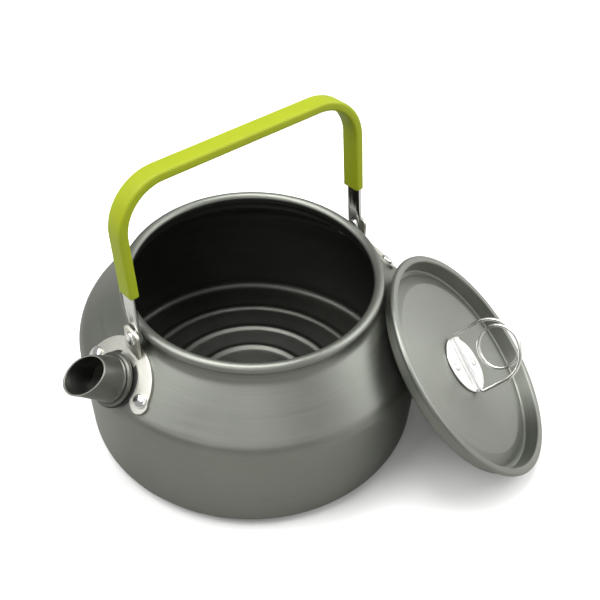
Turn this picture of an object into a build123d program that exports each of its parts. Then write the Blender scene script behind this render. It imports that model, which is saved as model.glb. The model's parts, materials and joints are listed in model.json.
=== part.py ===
"""Camping kettle with a folding bail handle, a short spout and its lid standing open beside it.

Millimetres, +Z up. The origin is the centre of the base, on the surface that the kettle stands on.
The spout points along -X, and the handle turns about an axis along X.
"""

import os
from math import asin, atan2, cos, degrees, hypot, radians, sin

from build123d import *

# Kettle body: one drawn aluminium shell.
wall = 1.1
base_radius = 73.2
wall_flare = 1.95
shoulder_height = 48.5
cone_height = 19.5
neck_radius = 54.3
neck_height = 8.1
base_corner = 5.0
shoulder_corner = 9.0
neck_corner = 5.0
rim_inset = 1.0
rim_bead = 2.3
base_ring_radii = (28.6, 41.8, 56.0)
base_ring_rise = 0.8
base_ring_half_width = 1.3

# Spout: a tapered tube on the cone of the shoulder.
spout_elevation = 40.0
spout_rise = 6.2
spout_length = 17.4
spout_base_radius = 9.6
spout_tip_radius = 8.3
spout_neck_radius = 8.4
spout_wall = 0.8
spout_bead_radius = 11.1
spout_bead_half_width = 1.3
spout_flange_radius = 10.4
spout_flange_thickness = 1.0
spout_stub = 1.15
spout_throat_run = 2.0
mouth_tilt = 26.0
gasket_radius = 11.6
gasket_thickness = 0.9
gasket_margin = 0.3

# Stamped steel brackets that carry the handle.
sheet = 1.2
arch_radius = 17.6
ear_radius = 3.7
front_rivet_spread = 16.8
rear_rivet_spread = 14.5
rear_plate_rise = 8.9
rear_ear_radius = 4.2
rear_neck_length = 16.0
tab_width = 9.8
tab_over_pivot = 4.5
tab_root = 12.0
tab_corner = 2.0

# Rivets and the handle's pivots.
pivot_drop = 3.6
rivet_shank = 1.6
rivet_head_radius = 3.0
rivet_head_height = 1.4
rivet_foot_radius = 2.6
rivet_foot_height = 0.8
rivet_edge_share = 0.3
pivot_head_radius = 3.2
pivot_inner_head = 0.6
washer_radius = 3.5
washer_thickness = 0.4

# Handle: a flat steel strap in a soft sleeve.
strap_width = 7.4
strap_thickness = 1.5
handle_rise = 66.8
handle_corner = 20.0
handle_lean = 7.0
sleeve_width = 9.25
sleeve_thickness = 4.2
sleeve_edge = 1.3
sleeve_start = 21.0

# Lid: a pressed dish with a flat lip, standing on its edge against the neck.
lid_sheet = 1.0
lid_fit = 0.6
lip_width = 3.5
hem_radius = 1.1
dish_depth = 6.9
dish_wall_lean = 0.8
crease_width = 2.0
panel_slope_width = 5.6
panel_edge_depth = 5.0
panel_crown_depth = 4.1
plug_corner = 1.0
panel_corner = 3.0
under_lip_corner = 0.3
lid_tilt = 44.3
lid_face_azimuth = -43.9
lid_stand_azimuth = -46.7

# Ring on the lid and the pressed plate that holds it.
holder_radius = 13.2
holder_thickness = 0.8
holder_angle = 44.7
rib_half_length = 12.2
rib_cover = 0.7
ring_wire = 0.8
ring_axis_rise = 1.9
ring_half_width = 13.75
ring_leg = 12.5
coil_radius = 9.3
coil_overlap = 0.2
holder_rivet_spread = 8.2
holder_rivet_shank = 1.1
holder_rivet_head = 1.9
holder_rivet_height = 0.5

# How far a cutting tool reaches each way, which is deeper than any wall or plate here.
through = 8.0
bracket_reach = 12.0

# Clearances.
seat_gap = 0.05
hole_gap = 0.05
running_gap = 0.08
rim_gap = 0.25
lean_gap = 0.4

# Sizes that follow from the ones above.
shoulder_radius = base_radius + wall_flare
neck_foot_height = shoulder_height + cone_height
rim_height = neck_foot_height + neck_height
spout_height = shoulder_height + spout_rise
rear_plate_height = shoulder_height + rear_plate_rise
pivot_height = rim_height - pivot_drop
tab_top = pivot_height + tab_over_pivot

# The pivot stack, outwards along X from the rim: inner head, strap, washer, tab, outer head.
rim_radius = neck_radius - rim_inset
rim_centre_height = rim_height - rim_bead
strap_inner = rim_radius + rim_bead + rim_gap + pivot_inner_head + seat_gap
strap_middle = strap_inner + strap_thickness / 2
washer_inner = strap_inner + strap_thickness + seat_gap
tab_inner = washer_inner + washer_thickness + seat_gap
tab_outer = tab_inner + sheet

# The outline of the body from the middle of the base up to the rim, as (radius, height) corners.
body_outline = [
    (0, 0),
    (base_radius, 0),
    (shoulder_radius, shoulder_height),
    (neck_radius, neck_foot_height),
    (neck_radius, rim_centre_height),
]
cone_slope = atan2(neck_foot_height - shoulder_height, shoulder_radius - neck_radius)
cone_elevation = 90 - degrees(cone_slope)


def parallel_outline(corners, grow):
    """The corners of an outline moved sideways by grow, to the right of its direction."""
    runs = []
    for (x0, y0), (x1, y1) in zip(corners, corners[1:]):
        length = hypot(x1 - x0, y1 - y0)
        across_x = (y1 - y0) / length
        across_y = (x0 - x1) / length
        runs.append((across_x, across_y, across_x * x0 + across_y * y0 + grow))
    moved = [(corners[0][0] + grow * runs[0][0], corners[0][1] + grow * runs[0][1])]
    for (ax, ay, a), (bx, by, b) in zip(runs, runs[1:]):
        cross = ax * by - ay * bx
        moved.append(((a * by - b * ay) / cross, (ax * b - bx * a) / cross))
    moved.append((corners[-1][0] + grow * runs[-1][0], corners[-1][1] + grow * runs[-1][1]))
    return moved


def crown_arc(radius, edge, crown):
    """An arc in the XZ plane from its crown on the Z axis down to an edge."""
    rise = crown - edge
    sphere = (radius**2 + rise**2) / (2 * rise)
    half = asin(radius / sphere) / 2
    middle = (sphere * sin(half), 0, crown - sphere + sphere * cos(half))
    return ThreePointArc((0, 0, crown), middle, (radius, 0, edge))


def turned(edges):
    """The solid that a closed outline in the XZ plane sweeps round the Z axis."""
    return revolve(make_face(edges), Axis.Z)


def body_form(grow, lift=0.0):
    """The filled shape of the body, grown by a distance on every side, its top raised by lift."""
    corners = [Vector(r, 0, z) for r, z in parallel_outline(body_outline, grow)]
    corners[-1] = corners[-1] + Vector(0, 0, lift)
    radii = [base_corner + grow, shoulder_corner + grow, neck_corner - grow]
    side = FilletPolyline(*corners, radius=radii)
    back = Polyline(corners[-1], Vector(0, 0, corners[-1].Z), corners[0])
    return turned(side.edges() + back.edges())


def body_skin(inner, outer):
    """A layer over the body between two distances from its outside."""
    return body_form(outer) - body_form(inner)


def cone_plane(azimuth, height, elevation):
    """A plane on the cone of the shoulder, its normal raised by elevation, its x level."""
    radius = neck_radius + (neck_foot_height - height) * cos(cone_slope) / sin(cone_slope)
    a = radians(azimuth)
    e = radians(elevation)
    return Plane(
        origin=(radius * cos(a), radius * sin(a), height),
        x_dir=(-sin(a), cos(a), 0),
        z_dir=(cos(a) * cos(e), sin(a) * cos(e), sin(e)),
    )


def rod(plane, radius, low, high):
    """A round bar along a plane's normal between two heights."""
    bar = Cylinder(radius, high - low, align=(Align.CENTER, Align.CENTER, Align.MIN))
    return plane * Pos(0, 0, low) * bar


def ring_plate(plane, outer, inner, low, high):
    """A flat washer square to a plane's normal between two heights."""
    return rod(plane, outer, low, high) - rod(plane, inner, low - 1, high + 1)


def rivet(head_radius, head_height, shank, grip, foot_radius, foot_height):
    """A domed rivet along Z: the head sits on z = 0 and the shank reaches down to its foot."""
    edge = head_height * rivet_edge_share
    dome = crown_arc(head_radius, edge, head_height)
    rest = Polyline(
        (0, 0, head_height),
        (0, 0, -grip - foot_height),
        (foot_radius, 0, -grip - foot_height),
        (foot_radius, 0, -grip),
        (shank, 0, -grip),
        (shank, 0, 0),
        (head_radius, 0, 0),
        (head_radius, 0, edge),
    )
    return turned(dome.edges() + rest.edges())


# Placement planes that several parts share.
spout_plane = cone_plane(180, spout_height, spout_elevation)
bracket_grip = 3 * seat_gap + sheet + wall
front_rivet_angle = degrees(front_rivet_spread / hypot(spout_plane.origin.X, front_rivet_spread))
front_rivet_planes = {
    "left": cone_plane(180 + front_rivet_angle, spout_height, cone_elevation),
    "right": cone_plane(180 - front_rivet_angle, spout_height, cone_elevation),
}
rear_plane = cone_plane(0, rear_plate_height, cone_elevation)
rear_rivet_angle = degrees(rear_rivet_spread / rear_plane.origin.X)
rear_rivet_planes = {
    "left": cone_plane(-rear_rivet_angle, rear_plate_height, cone_elevation),
    "right": cone_plane(rear_rivet_angle, rear_plate_height, cone_elevation),
}
pivot_planes = {
    "front": Plane(origin=(0, 0, pivot_height), x_dir=(0, 1, 0), z_dir=(-1, 0, 0)),
    "rear": Plane(origin=(0, 0, pivot_height), x_dir=(0, 1, 0), z_dir=(1, 0, 0)),
}


def make_body():
    """The drawn shell with its rolled rim, pressed base rings, spout hole and rivet holes."""
    shell = body_form(0) - body_form(-wall, lift=rim_bead)
    bead = Pos(0, 0, rim_centre_height) * Torus(rim_radius, rim_bead)
    shell = shell + bead
    below = rod(Plane.XY, 2 * shoulder_radius, -wall, wall / 2)
    for radius in base_ring_radii:
        ridge = Torus(radius, base_ring_half_width)
        ridge = Pos(0, 0, wall + base_ring_rise - base_ring_half_width) * ridge
        shell = shell + (ridge - below)
        shell = shell - Torus(radius, base_ring_rise)
    shell = shell - rod(spout_plane, spout_neck_radius + hole_gap, -through, through)
    for plane in [*front_rivet_planes.values(), *rear_rivet_planes.values()]:
        shell = shell - rod(plane, rivet_shank + hole_gap, -through, through)
    return shell


def make_spout():
    """The spout: a tapered tube with a bead outside the wall and a flange rolled inside it."""
    bead_low = seat_gap + gasket_thickness + seat_gap
    bead_middle = bead_low + spout_bead_half_width
    reach = spout_length + 2 * spout_tip_radius
    outer = Polyline(
        (0, 0, -through),
        (spout_neck_radius, 0, -through),
        (spout_neck_radius, 0, bead_low),
        (spout_base_radius, 0, bead_middle),
        (spout_tip_radius, 0, spout_length),
        (spout_tip_radius, 0, reach),
        (0, 0, reach),
        (0, 0, -through),
    )
    tube = turned(outer.edges())
    tube = tube + Pos(0, 0, bead_middle) * Torus(
        spout_bead_radius - spout_bead_half_width, spout_bead_half_width
    )
    cut = Plane.XY.offset(spout_length).rotated((-mouth_tilt, 0, 0))
    tube = split(tube, bisect_by=cut, keep=Keep.BOTTOM)
    tube = spout_plane * tube
    outside = tube - body_form(2 * seat_gap + gasket_thickness)
    throat = tube & body_form(2 * seat_gap + gasket_thickness)
    throat = throat & rod(spout_plane, spout_neck_radius, -through, through)
    flange_foot = -wall - seat_gap - spout_flange_thickness
    throat = throat - body_form(flange_foot - spout_stub)
    flange = rod(spout_plane, spout_flange_radius, -through, 0)
    flange = flange & body_skin(flange_foot, -wall - seat_gap)
    bore = Polyline(
        (0, 0, -through - 1),
        (spout_neck_radius - spout_wall, 0, -through - 1),
        (spout_neck_radius - spout_wall, 0, bead_low),
        (spout_base_radius - spout_wall, 0, bead_middle + spout_throat_run),
        (spout_tip_radius - spout_wall, 0, spout_length),
        (spout_tip_radius - spout_wall, 0, reach + 1),
        (0, 0, reach + 1),
        (0, 0, -through - 1),
    )
    return outside + throat + flange - spout_plane * turned(bore.edges())


def make_gasket():
    """The soft seal round the spout, between its bead and the wall."""
    ring = ring_plate(
        spout_plane, gasket_radius, spout_neck_radius + seat_gap, -through, through
    )
    return ring & body_skin(seat_gap, seat_gap + gasket_thickness)


def pivot_tab(side):
    """The upright tab that holds one end of the handle; side is -1 at the spout, 1 at the rear."""
    low = neck_foot_height - tab_root
    profile = Pos(0, (low + tab_top) / 2) * Rectangle(tab_width, tab_top - low)
    profile = fillet(profile.vertices().group_by(Axis.Y)[-1], tab_corner)
    plane = Plane(origin=(side * tab_inner, 0, 0), x_dir=(0, 1, 0), z_dir=(1, 0, 0))
    tab = plane * extrude(profile, sheet * side)
    return tab


def trimmed_bracket(plate, side, holes):
    """A bracket from its plate outline: wrapped on the body, joined to its tab and drilled."""
    wrapped = plate & body_skin(seat_gap, seat_gap + sheet)
    room = 2 * shoulder_radius
    beyond = Pos(side * (tab_inner + room / 2), 0, rim_height / 2) * Box(room, room, 2 * rim_height)
    bracket = (wrapped & beyond) + pivot_tab(side)
    bracket = bracket - body_form(seat_gap)
    for plane in holes:
        bracket = bracket - rod(plane, rivet_shank + hole_gap, -through, through)
    pivot = pivot_planes["front" if side < 0 else "rear"]
    return bracket - rod(pivot, rivet_shank + hole_gap, strap_inner, tab_outer + through)


def make_front_bracket():
    """The arch round the spout, with an ear for a rivet on each side."""
    arch = CenterArc((0, 0), arch_radius, 0, 180)
    ears = [
        Pos(side * front_rivet_spread, 0) * Edge.make_circle(ear_radius) for side in (-1, 1)
    ]
    outline = make_hull([arch.edge(), *ears])
    plate = spout_plane * Pos(0, 0, -bracket_reach) * extrude(outline, 2 * bracket_reach)
    hole = gasket_radius + gasket_margin
    plate = plate - rod(spout_plane, hole, -bracket_reach - 1, bracket_reach + 1)
    return trimmed_bracket(plate, -1, front_rivet_planes.values())


def make_rear_bracket():
    """The rear plate: a level bar with a rivet at each end."""
    outline = SlotCenterToCenter(2 * rear_rivet_spread, 2 * rear_ear_radius)
    outline = outline + Pos(0, rear_neck_length / 2) * Rectangle(tab_width, rear_neck_length)
    plate = rear_plane * Pos(0, 0, -through) * extrude(outline, 2 * through)
    return trimmed_bracket(plate, 1, rear_rivet_planes.values())


def make_bracket_rivet(plane):
    """A rivet through a bracket and the body wall."""
    pin = rivet(
        rivet_head_radius,
        rivet_head_height,
        rivet_shank,
        bracket_grip + seat_gap,
        rivet_foot_radius,
        rivet_foot_height,
    )
    return plane * Pos(0, 0, sheet + 3 * seat_gap) * pin


def make_pivot_rivet(plane):
    """The rivet that the handle turns on, with a thin flat head on the rim's side."""
    seat = tab_outer + seat_gap
    pin = rivet(
        pivot_head_radius,
        rivet_head_height,
        rivet_shank,
        seat - strap_inner + seat_gap,
        pivot_head_radius,
        pivot_inner_head,
    )
    return plane * Pos(0, 0, seat) * pin


def make_pivot_washer(plane):
    """The thin washer between the strap and the tab."""
    inner = rivet_shank + hole_gap
    return ring_plate(plane, washer_radius, inner, washer_inner, washer_inner + washer_thickness)


def handle_path(start):
    """The middle line of the handle from one arm to the other, from a height over the pivots."""
    foot = pivot_height + start
    top = pivot_height + handle_rise
    return FilletPolyline(
        (-strap_middle, 0, foot),
        (-strap_middle, 0, top),
        (strap_middle, 0, top),
        (strap_middle, 0, foot),
        radius=handle_corner,
    )


def along_handle(profile, start):
    """A section swept along the handle's middle line."""
    path = handle_path(start)
    plane = Plane(origin=path @ 0, x_dir=(1, 0, 0), z_dir=(0, 0, 1))
    return sweep(plane * profile, path=path)


def leaned(part):
    """A part of the handle turned about the pivots to where the handle stands."""
    return part.rotate(Axis((0, 0, pivot_height), (1, 0, 0)), -handle_lean)


def make_strap():
    """The bent flat strap with round drilled ends."""
    strap = along_handle(Rectangle(strap_thickness, strap_width), 0)
    for plane in pivot_planes.values():
        outer = strap_inner + strap_thickness
        strap = strap + rod(plane, strap_width / 2, strap_inner, outer)
        strap = strap - rod(plane, rivet_shank + running_gap, strap_inner - 1, outer + 1)
    return leaned(strap)


def make_sleeve():
    """The soft sleeve over the bar and most of both arms."""
    outer = along_handle(
        RectangleRounded(sleeve_thickness, sleeve_width, sleeve_edge), sleeve_start
    )
    inner = along_handle(
        Rectangle(strap_thickness + 2 * seat_gap, strap_width + 2 * seat_gap), sleeve_start - 1
    )
    return leaned(outer - inner)


# The lid's section from the panel's edge out to the lip, as (radius, height) over the lip's top.
rim_inner_radius = rim_radius - rim_bead
plug_radius = rim_inner_radius - lid_fit
dish_top_radius = plug_radius - lid_sheet
dish_foot_radius = dish_top_radius - dish_wall_lean
panel_radius = dish_foot_radius - crease_width - panel_slope_width
lip_radius = dish_top_radius + lip_width
lid_outline = [
    (panel_radius, -panel_edge_depth),
    (dish_foot_radius - crease_width, -dish_depth),
    (dish_foot_radius, -dish_depth),
    (dish_top_radius, 0),
    (lip_radius - hem_radius, 0),
]


def lean_distance():
    """How far from the kettle's axis the lid's centre stands when its plug leans on the cone."""
    t = radians(lid_tilt)
    corner = plug_corner + lid_sheet
    across = dish_foot_radius + lid_sheet - corner
    down = dish_depth + lid_sheet - corner
    height = lid_centre_height() + across * sin(t) - down * cos(t)
    surface = neck_foot_height * cos(cone_slope) + neck_radius * sin(cone_slope)
    touch = (surface + corner + lean_gap - height * cos(cone_slope)) / sin(cone_slope)
    return touch + across * cos(t) + down * sin(t)


def lid_centre_height():
    """How high the middle of the lip is when the hem's lowest point is on the ground."""
    t = radians(lid_tilt)
    return (lip_radius - hem_radius) * sin(t) + hem_radius * cos(t) + hem_radius


lid_distance = lean_distance()
stand = radians(lid_stand_azimuth)
face = radians(lid_face_azimuth)
tilt = radians(lid_tilt)
lid_plane = Plane(
    origin=(lid_distance * cos(stand), lid_distance * sin(stand), lid_centre_height()),
    x_dir=(-sin(face), cos(face), 0),
    z_dir=(cos(face) * sin(tilt), sin(face) * sin(tilt), cos(tilt)),
)
holder_place = lid_plane * Pos(0, 0, -panel_crown_depth) * Rot(0, 0, holder_angle)


def make_lid():
    """The pressed lid: a domed panel in a dish, a flat lip and a rolled hem."""
    radii = [panel_corner, plug_corner, plug_corner]
    under_radii = [panel_corner - lid_sheet, plug_corner + lid_sheet, under_lip_corner]
    under = parallel_outline(lid_outline, lid_sheet)
    top_run = FilletPolyline(*[(r, 0, h) for r, h in lid_outline], radius=radii)
    low_run = FilletPolyline(*[(r, 0, h) for r, h in under], radius=under_radii)
    crown = -panel_crown_depth
    edge_r, edge_h = lid_outline[0]
    low_r, low_h = under[0]
    dome_top = crown_arc(edge_r, edge_h, crown)
    dome_low = crown_arc(low_r, low_h, crown - lid_sheet)
    ends = [
        Line((0, 0, crown), (0, 0, crown - lid_sheet)),
        Line(top_run @ 1, low_run @ 1),
    ]
    runs = [dome_top, top_run, dome_low, low_run, *ends]
    lid = turned([edge for run in runs for edge in run.edges()])
    hem = Pos(0, 0, -hem_radius) * Torus(lip_radius - hem_radius, hem_radius)
    lid = lid_plane * (lid + hem)
    for place in holder_rivet_places():
        lid = lid - rod(place, holder_rivet_shank + hole_gap, -through, through)
    return lid


def holder_rivet_places():
    """Where the two small rivets of the ring's holder sit, on the panel's crown."""
    return [
        holder_place * Pos(0, side * holder_rivet_spread, 0) for side in (-1, 1)
    ]


def make_holder():
    """The round plate on the lid with a rib across it that the ring's wire runs through."""
    rib_radius = ring_wire + running_gap + rib_cover
    disc_top = seat_gap + holder_thickness
    plate = rod(holder_place, holder_radius, seat_gap, disc_top)
    rib = Pos(0, 0, (ring_axis_rise + seat_gap) / 2) * Box(
        2 * rib_half_length, 2 * rib_radius, ring_axis_rise - seat_gap
    )
    lying = Pos(0, 0, ring_axis_rise) * Rot(0, 90, 0)
    rib = rib + lying * Cylinder(rib_radius, 2 * rib_half_length)
    bore = lying * Cylinder(ring_wire + running_gap, 2 * (rib_half_length + through))
    holder = plate + holder_place * (rib - bore)
    for place in holder_rivet_places():
        holder = holder - rod(place, holder_rivet_shank + hole_gap, -through, through)
    return holder


def make_holder_rivet(place):
    """A small rivet through the holder and the lid's panel."""
    pin = rivet(
        holder_rivet_head,
        holder_rivet_height,
        holder_rivet_shank,
        holder_thickness + lid_sheet + 4 * seat_gap,
        holder_rivet_head,
        holder_rivet_height,
    )
    return place * Pos(0, 0, holder_thickness + 2 * seat_gap) * pin


def make_ring():
    """The wire ring: a hoop through the holder's rib, with a full coil turned inside it."""
    low = ring_axis_rise
    shoulder = low + ring_leg
    legs = FilletPolyline(
        (-ring_half_width, 0, shoulder),
        (-ring_half_width, 0, low),
        (ring_half_width, 0, low),
        (ring_half_width, 0, shoulder),
        radius=ring_half_width - rib_half_length,
    )
    section = Plane(origin=legs @ 0, z_dir=(0, 0, -1)) * Circle(ring_wire)
    hoop = sweep(section, path=legs)
    bend = Pos(0, 0, shoulder) * Rot(-90, 0, 0) * Torus(ring_half_width, ring_wire)
    upper = Pos(0, 0, shoulder + ring_half_width) * Box(
        4 * ring_half_width, 4 * ring_wire, 2 * ring_half_width
    )
    hoop = hoop + (bend & upper)
    coil_height = shoulder + ring_half_width - coil_radius
    coil = Rot(-90, 0, 0) * Torus(coil_radius, ring_wire)
    coil = Pos(0, 2 * ring_wire - coil_overlap, coil_height) * coil
    return holder_place * (hoop + coil)


def make_all():
    """Every sub-part by its name."""
    parts = {
        "kettle_body": make_body(),
        "spout_tube": make_spout(),
        "spout_gasket": make_gasket(),
        "front_bracket": make_front_bracket(),
        "rear_bracket": make_rear_bracket(),
        "handle_strap": make_strap(),
        "handle_sleeve": make_sleeve(),
        "lid_panel": make_lid(),
        "ring_holder": make_holder(),
        "lid_ring": make_ring(),
    }
    for side, plane in front_rivet_planes.items():
        parts[f"front_rivet_{side}"] = make_bracket_rivet(plane)
    for side, plane in rear_rivet_planes.items():
        parts[f"rear_rivet_{side}"] = make_bracket_rivet(plane)
    for end, plane in pivot_planes.items():
        parts[f"{end}_pivot_rivet"] = make_pivot_rivet(plane)
        parts[f"{end}_pivot_washer"] = make_pivot_washer(plane)
    for name, place in zip(("lower", "upper"), holder_rivet_places()):
        parts[f"holder_rivet_{name}"] = make_holder_rivet(place)
    return parts


os.makedirs("parts", exist_ok=True)
for node, shape in make_all().items():
    export_step(shape, f"parts/{node}.step")
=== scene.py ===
import json
from math import acos, asin, atan2, ceil, cos, degrees, hypot, pi, radians, sin, tan

import bmesh
import bpy
from mathutils import Matrix, Vector

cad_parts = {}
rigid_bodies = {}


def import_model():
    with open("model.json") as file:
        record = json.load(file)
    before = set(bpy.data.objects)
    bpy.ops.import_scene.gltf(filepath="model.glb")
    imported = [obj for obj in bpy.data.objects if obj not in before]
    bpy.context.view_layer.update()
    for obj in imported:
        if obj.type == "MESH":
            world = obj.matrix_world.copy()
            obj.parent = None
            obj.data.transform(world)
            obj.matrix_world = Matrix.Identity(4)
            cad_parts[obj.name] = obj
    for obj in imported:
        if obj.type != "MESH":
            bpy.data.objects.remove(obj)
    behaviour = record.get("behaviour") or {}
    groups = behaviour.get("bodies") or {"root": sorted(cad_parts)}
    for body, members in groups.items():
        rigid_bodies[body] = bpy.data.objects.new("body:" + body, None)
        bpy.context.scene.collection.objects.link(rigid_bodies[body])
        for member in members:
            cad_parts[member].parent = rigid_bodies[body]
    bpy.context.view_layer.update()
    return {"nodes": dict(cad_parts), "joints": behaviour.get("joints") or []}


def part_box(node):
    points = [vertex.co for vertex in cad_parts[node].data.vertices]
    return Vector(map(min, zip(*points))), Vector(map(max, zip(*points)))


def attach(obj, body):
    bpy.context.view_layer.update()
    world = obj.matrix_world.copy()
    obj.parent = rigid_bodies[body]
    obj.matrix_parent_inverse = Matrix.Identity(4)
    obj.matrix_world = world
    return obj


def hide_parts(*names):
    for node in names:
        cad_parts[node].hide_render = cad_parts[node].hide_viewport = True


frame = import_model()
joints = {joint["name"]: joint for joint in frame["joints"]}


stage = {
    "cameraPlace": (-0.1885, -0.2520, 0.35985),
    "cameraForward": (0.4702, 0.5504, -0.6899),
    "cameraRoll": radians(2.41),
    "lens": 60.68,
    "clipStart": 0.01,
    "floorSize": 6.0,
    "fadeFrom": 0.35,
    "fadeTo": 1.2,
    "floorSeen": (0.93, 0.93, 0.92, 1),
    "floorBounce": (0.42, 0.42, 0.40, 1),
    "floorCloud": 3.0,
    "floorSmooth": 0.55,
    "floorRough": 0.7,
    "ambient": 0.40,
    "sideGlow": 1.0,
    "glowSide": (0.86, -0.45, 0.22),
    "glowFrom": 0.3,
}

lights = {
    "keyLight": {"place": (-0.55, 0.35, 1.05), "target": (0, 0, 0.04), "size": 1.1, "watts": 13},
    "frontLight": {"place": (-0.60, -0.75, 0.95), "target": (0, 0, 0.04), "size": 1.0, "watts": 2.5},
    "topLight": {"place": (0.05, 0.1, 1.35), "target": (0, 0, 0.04), "size": 0.7, "watts": 11},
    "rightLight": {"place": (0.80, -0.45, 0.85), "target": (0, 0, 0.04), "size": 0.8, "watts": 6},
    "lidLight": {"place": (1.10, -0.10, 0.20), "target": (0.07, -0.07, 0.04), "size": 0.5, "watts": 0.9},
}


def placeMatrix(origin, zAxis, xAxis):
    z = Vector(zAxis).normalized()
    x = Vector(xAxis)
    x = (x - z * x.dot(z)).normalized()
    matrix = Matrix((x, z.cross(x), z)).transposed().to_4x4()
    matrix.translation = Vector(origin)
    return matrix


def makeCamera():
    camera = bpy.data.objects.new("camera", bpy.data.cameras.new("camera"))
    camera.data.lens = stage["lens"]
    camera.data.clip_start = stage["clipStart"]
    back = -Vector(stage["cameraForward"])
    right = Vector((0, 0, 1)).cross(back)
    place = placeMatrix(stage["cameraPlace"], back, right)
    camera.matrix_world = place @ Matrix.Rotation(stage["cameraRoll"], 4, "Z")
    bpy.context.collection.objects.link(camera)
    bpy.context.scene.camera = camera


def makeAreaLight(name, place, target, size, watts):
    lamp = bpy.data.lights.new(name, "AREA")
    lamp.shape = "DISK"
    lamp.size = size
    lamp.energy = watts
    light = bpy.data.objects.new(name, lamp)
    back = Vector(place) - Vector(target)
    light.matrix_world = placeMatrix(place, back, (back.y, -back.x, 0.001))
    bpy.context.collection.objects.link(light)


def addNode(tree, kind, links=None, **settings):
    node = tree.nodes.new("ShaderNode" + kind)
    for name, value in settings.items():
        setattr(node, name, value)
    for socket, source in (links or {}).items():
        if isinstance(source, bpy.types.NodeSocket):
            tree.links.new(source, node.inputs[socket])
        else:
            node.inputs[socket].default_value = source
    return node


def mixColours(tree, factor, first, second):
    return addNode(tree, "Mix", {0: factor, 6: first, 7: second}, data_type="RGBA").outputs[2]


def scaled(tree, value, factor):
    return addNode(tree, "Math", {0: value, 1: factor}, operation="MULTIPLY").outputs[0]


def added(tree, first, second):
    return addNode(tree, "Math", {0: first, 1: second}, operation="ADD").outputs[0]


def spreadOut(tree, value, low, high):
    # What lies between low and high, stretched to run from 0 to 1.
    return addNode(tree, "MapRange", {"Value": value, "From Min": low, "From Max": high}).outputs["Result"]


def makeWorld():
    world = bpy.data.worlds.new("studio")
    bpy.context.scene.world = world
    world.use_nodes = True
    tree = world.node_tree
    tree.nodes.clear()
    direction = addNode(tree, "TexCoord").outputs["Generated"]
    side = addNode(tree, "VectorMath", {0: direction, 1: stage["glowSide"]}, operation="DOT_PRODUCT")
    glow = addNode(tree, "MapRange", {
        "Value": side.outputs["Value"], "From Min": stage["glowFrom"], "From Max": 1.0,
        "To Min": stage["ambient"], "To Max": stage["ambient"] + stage["sideGlow"],
    })
    lit = addNode(tree, "Background", {"Color": (1, 1, 1, 1), "Strength": glow.outputs["Result"]})
    seen = addNode(tree, "Background", {"Color": (1, 1, 1, 1), "Strength": 1.0})
    ray = addNode(tree, "LightPath")
    mix = addNode(tree, "MixShader", {
        0: ray.outputs["Is Camera Ray"], 1: lit.outputs[0], 2: seen.outputs[0],
    })
    addNode(tree, "OutputWorld", {"Surface": mix.outputs[0]})


def makeFloor():
    bm = bmesh.new()
    # The leaning lid's dish is the lowest thing of all, a little under the kettle's base.
    level = Matrix.Translation((0, 0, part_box("lid_panel")[0].z))
    bmesh.ops.create_grid(bm, x_segments=8, y_segments=8, size=stage["floorSize"] / 2, matrix=level)
    mesh = bpy.data.meshes.new("floor")
    bm.to_mesh(mesh)
    bm.free()
    material = bpy.data.materials.new("paleFloor")
    material.use_nodes = True
    tree = material.node_tree
    shader = tree.nodes["Principled BSDF"]
    position = addNode(tree, "TexCoord").outputs["Object"]
    cloud = addNode(tree, "TexNoise", {"Vector": position, "Scale": stage["floorCloud"], "Detail": 4.0})
    tone = addNode(tree, "MapRange", {
        "Value": cloud.outputs["Fac"], "To Min": stage["floorSmooth"], "To Max": stage["floorRough"],
    })
    tree.links.new(tone.outputs["Result"], shader.inputs["Roughness"])
    ray = addNode(tree, "LightPath").outputs["Is Camera Ray"]
    colour = mixColours(tree, ray, stage["floorBounce"], stage["floorSeen"])
    tree.links.new(colour, shader.inputs["Base Color"])
    # Far from the kettle the floor fades into the white behind it.
    away = addNode(tree, "VectorMath", {0: position}, operation="LENGTH").outputs["Value"]
    fade = spreadOut(tree, away, stage["fadeFrom"], stage["fadeTo"])
    tree.links.new(scaled(tree, fade, ray), shader.inputs["Emission Strength"])
    mesh.materials.append(material)
    floor = bpy.data.objects.new("floor", mesh)
    bpy.context.collection.objects.link(floor)


bpy.context.scene.view_settings.view_transform = "Standard"
makeCamera()
makeWorld()
makeFloor()
for lightName, light in lights.items():
    makeAreaLight(lightName, **light)
print("stage: camera, world, floor and", len(lights), "lights")


def newGroup(name, inputs, outputs):
    tree = bpy.data.node_groups.new(name, "ShaderNodeTree")
    for label, kind, value in inputs:
        socket = tree.interface.new_socket(name=label, in_out="INPUT", socket_type="NodeSocket" + kind)
        if kind == "Float":
            socket.default_value = value
    for label in outputs:
        tree.interface.new_socket(name=label, in_out="OUTPUT", socket_type="NodeSocketFloat")
    start = tree.nodes.new("NodeGroupInput")
    end = tree.nodes.new("NodeGroupOutput")
    return tree, start.outputs, end.inputs


groupLook = {
    "turnedRoughness": 0.65,
    "cloudRoughness": 0.6,
    "linesFrom": 0.3,
    "linesTo": 0.7,
    "slant": (0.2, 0.1, 0.35),
    "sparseScale": 0.35,
    "deepFrom": 0.66,
    "deepTo": 0.72,
    "patchScale": 260.0,
    "patchFrom": 0.35,
    "patchTo": 0.6,
    "patchLeast": 0.25,
}


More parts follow.
